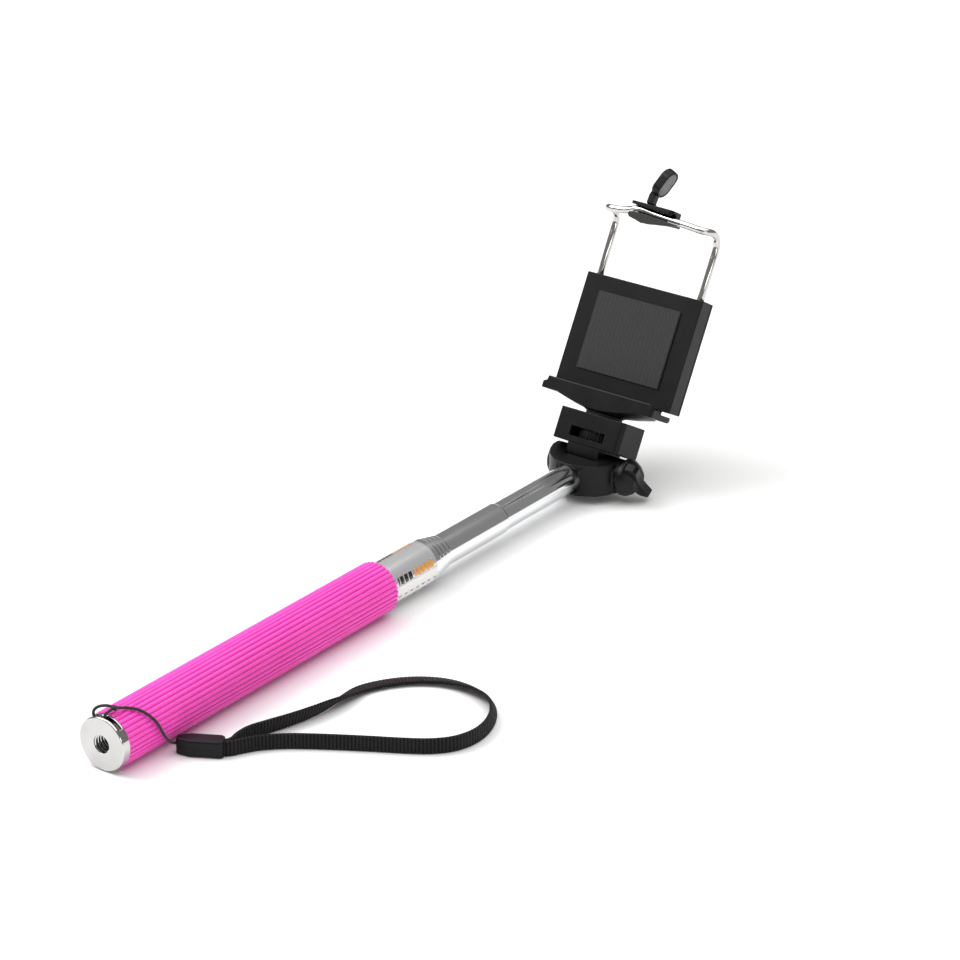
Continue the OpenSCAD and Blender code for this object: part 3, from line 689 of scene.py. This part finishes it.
class STICK_OT_wrist_cord(bpy.types.Operator):
    """The thin cord under the cap's bridge, with its knot and the clip that it runs into"""
    bl_idname = "stick.wrist_cord"
    bl_label = "Wrist cord"

    def execute(self, context):
        s = context.scene.stick_sizes
        line = smooth_line([Vector(p) * MM for p in CORD_ROUTE], CORD_STEPS)
        cord = tube_curve("wrist_cord_line", line, s.cord_width / 2)
        stand_for(cord, "wrist_cord")
        knot = self.knot(s.cord_width / 2)
        stand_for(knot, "cord_knot")
        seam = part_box("strap_clip_body")[1].z


        def soft_outside(middle):
            """The seam and the thin wall round the webbing's slot take only a small edge."""
            place = TO_CLIP @ middle
            at_slot = place.x > 4.5 * MM and abs(place.y) < 2 * MM
            return 0.12 if at_slot or abs(middle.z - seam) < 0.6 * MM else 1.0

        halves = [rounded_copy(node, 2.4 * s.mould_edge, 4, share=soft_outside)
                  for node in ("strap_clip_body", "strap_clip_cover")]
        return {"FINISHED"}

    def knot(self, radius):
        """An overhand knot pulled tight: a small trefoil of the same cord."""
        size = 0.27 * MM
        turns = [2 * math.pi * i / 48 for i in range(49)]
        loop = [KNOT_AT + size * Vector((math.sin(t) + 2 * math.sin(2 * t), math.cos(t) - 2 * math.cos(2 * t),
                                         -1.4 * math.sin(3 * t))) for t in turns]
        knot = tube_curve("cord_knot_turns", loop, radius * 0.86)
        select_only(knot)
        bpy.ops.object.convert(target="MESH")
        bpy.ops.object.shade_smooth()
        return bpy.context.object


def tube_curve(name, line, radius):
    """A round tube along a line, as a curve of one open spline."""
    curve = bpy.data.curves.new(name, "CURVE")
    curve.dimensions = "3D"
    curve.bevel_depth = radius
    curve.bevel_resolution = 4
    curve.use_fill_caps = True
    spline = curve.splines.new("POLY")
    spline.points.add(len(line) - 1)
    for point, place in zip(spline.points, line):
        point.co = (*place, 1)
    spline.use_smooth = True
    piece = bpy.data.objects.new(name, curve)
    bpy.context.scene.collection.objects.link(piece)
    return piece


class STICK_OT_wrist_webbing(bpy.types.Operator):
    """The flat loop of woven webbing, with both ends in the clip"""
    bl_idname = "stick.wrist_webbing"
    bl_label = "Wrist webbing"

    def execute(self, context):
        s = context.scene.stick_sizes
        table = CAD_BOX[0][2]
        line, rolls = [], []
        for x, y, roll in even_steps(smooth_line([Vector(p) for p in WEB_ROUTE], 5), 0.25):
            turn = math.radians(min(roll, 90))
            height = s.web_width * math.sin(turn) + s.web_thick * math.cos(turn)
            line.append(Vector((x * MM, y * MM, table + height / 2)))
            rolls.append(turn)
        webbing = self.band(line, rolls, s.web_width, s.web_thick)
        stand_for(webbing, "wrist_webbing")
        return {"FINISHED"}

    def band(self, line, rolls, width, thick):
        """A flat band with rounded edges, and a map of its length and width for the weave."""
        section = []
        for side in (1, -1):
            for k in range(7):
                a = math.radians(-90 + 30 * k) if side > 0 else math.radians(90 + 30 * k)
                section.append((side * (width - thick) / 2 + thick / 2 * math.cos(a), thick / 2 * math.sin(a)))
        mesh = bmesh.new()
        rings = []
        along = [0.0]
        for a, b in zip(line, line[1:]):
            along.append(along[-1] + (b - a).length)
        for i, (place, roll) in enumerate(zip(line, rolls)):
            ahead = (line[min(i + 1, len(line) - 1)] - line[max(i - 1, 0)]).normalized()
            flat = ahead.cross(Vector((0, 0, 1))).normalized()
            across = math.cos(roll) * flat + math.sin(roll) * flat.cross(ahead)
            through = ahead.cross(across)
            rib = 1 - RIB_DEPTH * math.sin(math.pi * along[i] / WEFT_PITCH) ** 8
            rings.append([mesh.verts.new(place + u * across + v * rib * through) for u, v in section])
        weave = mesh.loops.layers.uv.new("weave")
        for i in range(len(rings) - 1):
            for k in range(len(section)):
                n = (k + 1) % len(section)
                face = mesh.faces.new((rings[i][k], rings[i + 1][k], rings[i + 1][n], rings[i][n]))
                for loop, (row, column) in zip(face.loops, ((i, k), (i + 1, k), (i + 1, n), (i, n))):
                    loop[weave].uv = (along[row], section[column][0])
        for ring in (rings[0], rings[-1]):
            mesh.faces.new(ring)
        bmesh.ops.recalc_face_normals(mesh, faces=mesh.faces)
        data = bpy.data.meshes.new("wrist_webbing_band")
        mesh.to_mesh(data)
        mesh.free()
        band = bpy.data.objects.new("wrist_webbing_band", data)
        bpy.context.scene.collection.objects.link(band)
        select_only(band)
        bpy.ops.object.shade_smooth_by_angle(angle=math.radians(50))
        return band


def coil(name, radius, wire, pitch, turns, sides, place, steps=24):
    """A closed helix of wire or thread: a small ring screwed up its own axis, then put in its place."""
    deselect()
    bpy.ops.mesh.primitive_circle_add(vertices=sides, radius=wire, fill_type="NGON", location=(radius, 0, 0),
                                      rotation=(math.pi / 2, 0, 0))
    piece = bpy.context.object
    piece.name = piece.data.name = name
    place_in_mesh(piece)
    screw = piece.modifiers.new("Turns", "SCREW")
    screw.axis = "Z"
    screw.angle = 2 * math.pi
    screw.screw_offset = pitch
    screw.iterations = turns
    screw.steps = screw.render_steps = steps
    screw.use_merge_vertices = True
    apply_modifiers(piece)
    bpy.ops.object.mode_set(mode="EDIT")
    bpy.ops.mesh.select_all(action="SELECT")
    bpy.ops.mesh.remove_doubles(threshold=0.0005 * MM)
    bpy.ops.mesh.fill_holes(sides=0)
    bpy.ops.mesh.normals_make_consistent(inside=False)
    bpy.ops.object.mode_set(mode="OBJECT")
    bpy.ops.object.shade_smooth_by_angle(angle=math.radians(40))
    piece.matrix_world = place
    place_in_mesh(piece)
    return piece


class STICK_OT_grip(bpy.types.Operator):
    """The ribbed rubber grip"""
    bl_idname = "stick.grip"
    bl_label = "Grip"

    def execute(self, context):
        rounded_copy("grip", 0.12 * MM, 2, 50)
        return {"FINISHED"}


class STICK_OT_end_cap(bpy.types.Operator):
    """The turned end cap, with the tripod thread in its hole"""
    bl_idname = "stick.end_cap"
    bl_label = "End cap"

    def execute(self, context):
        s = context.scene.stick_sizes
        rounded_copy("end_cap", s.fine_edge, 3, 40)
        along = Matrix.Rotation(math.pi / 2, 4, "Y")
        thread = coil("end_cap_thread", 3.2 * MM, 0.42 * MM, s.thread_pitch, 7, 6,
                      Matrix.Translation((0.55 * MM, 0, 0)) @ along)
        go_with(thread, "end_cap")
        return {"FINISHED"}


class STICK_OT_tubes(bpy.types.Operator):
    """The telescopic tubes, their sleeves and the label"""
    bl_idname = "stick.tubes"
    bl_label = "Tubes"

    def execute(self, context):
        keep_cad(*FINISH_OF["polished_tube"], "tube_label", "tube_plug",
                 *[n for n in FINISH_OF["spring_brass"] if n.startswith("friction")])
        return {"FINISHED"}


class STICK_OT_head(bpy.types.Operator):
    """The fork head with its bolt, washer and wing knob"""
    bl_idname = "stick.head"
    bl_label = "Head"

    def execute(self, context):
        s = context.scene.stick_sizes
        low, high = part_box("fork_head")

        def rims(middle):
            on_rim = min(middle.z - low.z, high.z - middle.z) < NEAR
            return 1.0 if on_rim and middle.x < HINGE.x - 4 * MM else 0.0

        rounded_copy("fork_head", s.mould_edge, 3, share=rims)
        rounded_copy("wing_knob", s.mould_edge, 3)
        rounded_copy("hinge_bolt", s.fine_edge)
        keep_cad("fork_screw", "knob_washer", "knob_nut")
        return {"FINISHED"}


class STICK_OT_tilt(bpy.types.Operator):
    """The tilting block with the thumb wheel and its screw"""
    bl_idname = "stick.tilt"
    bl_label = "Tilting block"

    def execute(self, context):
        s = context.scene.stick_sizes
        rounded_copy("tilt_block", s.mould_edge, 3, share=self.outside)
        rounded_copy("thumb_wheel", s.fine_edge * 0.4, 2)
        thread = coil("tripod_screw_thread", 2.95 * MM, 0.3 * MM, s.thread_pitch, 8, 6,
                      CLAMP @ Matrix.Translation((0, 0, 13.3 * MM)))
        go_with(thread, "tripod_screw")
        keep_cad("tripod_screw", "swivel_washer")
        return {"FINISHED"}

    def outside(self, middle):
        """The block's outer edges are rounded; its tongue and the wheel's window stay sharp."""
        place = TO_CLAMP @ middle
        on_end = min(abs(place.z - end) for end in BLOCK_ENDS) < NEAR
        return 1.0 if on_end and max(abs(place.y) - 7 * MM, abs(place.x) - 8 * MM) > 0 else 0.0


class STICK_OT_lower_jaw(bpy.types.Operator):
    """The lower jaw and rear housing with their cover, pads and screws"""
    bl_idname = "stick.lower_jaw"
    bl_label = "Lower jaw"

    def execute(self, context):
        s = context.scene.stick_sizes
        rounded_copy("clamp_base", s.fine_edge * 1.6, 3)
        rounded_copy("clamp_cover", s.mould_edge, 3)
        rounded_copy("seat_pad", s.fine_edge)
        rounded_copy("back_pad", s.fine_edge)
        rounded_copy("cover_screws", s.fine_edge)
        keep_cad("clamp_nut")
        return {"FINISHED"}


class STICK_OT_springs(bpy.types.Operator):
    """The two coil springs that pull the upper jaw down"""
    bl_idname = "stick.springs"
    bl_label = "Jaw springs"

    def execute(self, context):
        s = context.scene.stick_sizes
        wire, radius = 0.28 * MM, 2.0 * MM
        low, high = SPRING_ENDS
        turns = int((high - low - 2 * wire) / s.spring_pitch)
        left, right = (coil(name, radius, wire, s.spring_pitch, turns, 8,
                            CLAMP @ Matrix.Translation((LEG_BACK, side, low + wire)), 20)
                       for name, side in (("spring_left", LEG_SIDE), ("jaw_springs_pair", -LEG_SIDE)))
        select_only(right)
        left.select_set(True)
        bpy.ops.object.join()
        finish = finish_of("jaw_springs")
        paint(right, finish)
        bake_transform(right)
        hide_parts("jaw_springs")
        return {"FINISHED"}


class STICK_OT_upper_jaw(bpy.types.Operator):
    """The wire frame with the bridge, the rubber jaw and the release lever"""
    bl_idname = "stick.upper_jaw"
    bl_label = "Upper jaw"

    def execute(self, context):
        s = context.scene.stick_sizes
        self.wire()
        rounded_copy("jaw_bridge", s.fine_edge * 1.6, 3)
        rounded_copy("jaw_block", s.fine_edge, 2)
        rounded_copy("jaw_lever", s.fine_edge * 2, 3)
        rounded_copy("lever_pad", s.fine_edge, 2)
        keep_cad("leg_ferrules", "bridge_screws", "lever_pin")
        return {"FINISHED"}

    def wire(self):
        """The CAD wire, merged, smoothed and shaded round."""
        piece = merged_copy("wire_frame", "wire_frame_bar")
        bpy.ops.object.shade_smooth_by_angle(angle=math.radians(45))
        stand_for(piece, "wire_frame")


class STICK_PT_panel(bpy.types.Panel):
    """Buttons for the pieces of the selfie stick"""
    bl_label = "Selfie Stick"
    bl_idname = "STICK_PT_panel"
    bl_space_type = "VIEW_3D"
    bl_region_type = "UI"
    bl_category = "Stick"

    def draw(self, context):
        for group in (context.scene.stick_sizes, context.scene.stick_colours):
            for name in group.__annotations__:
                self.layout.prop(group, name)
        for operator in OPERATORS:
            self.layout.operator(operator.bl_idname)


OPERATORS = (
    STICK_OT_stage, STICK_OT_wrist_cord, STICK_OT_wrist_webbing, STICK_OT_grip, STICK_OT_end_cap,
    STICK_OT_tubes, STICK_OT_head, STICK_OT_tilt, STICK_OT_lower_jaw, STICK_OT_springs,
    STICK_OT_upper_jaw,
)
CLASSES = (StickSizes, StickColours, *OPERATORS, STICK_PT_panel)


def register():
    for cls in CLASSES:
        bpy.utils.register_class(cls)
    bpy.types.Scene.stick_sizes = bpy.props.PointerProperty(type=StickSizes)
    bpy.types.Scene.stick_colours = bpy.props.PointerProperty(type=StickColours)


def unregister():
    del bpy.types.Scene.stick_colours
    del bpy.types.Scene.stick_sizes
    for cls in reversed(CLASSES):
        bpy.utils.unregister_class(cls)


def main():
    register()
    for operator in OPERATORS:
        family, name = operator.bl_idname.split(".")
        getattr(getattr(bpy.ops, family), name)()


if __name__ == "__main__":
    main()
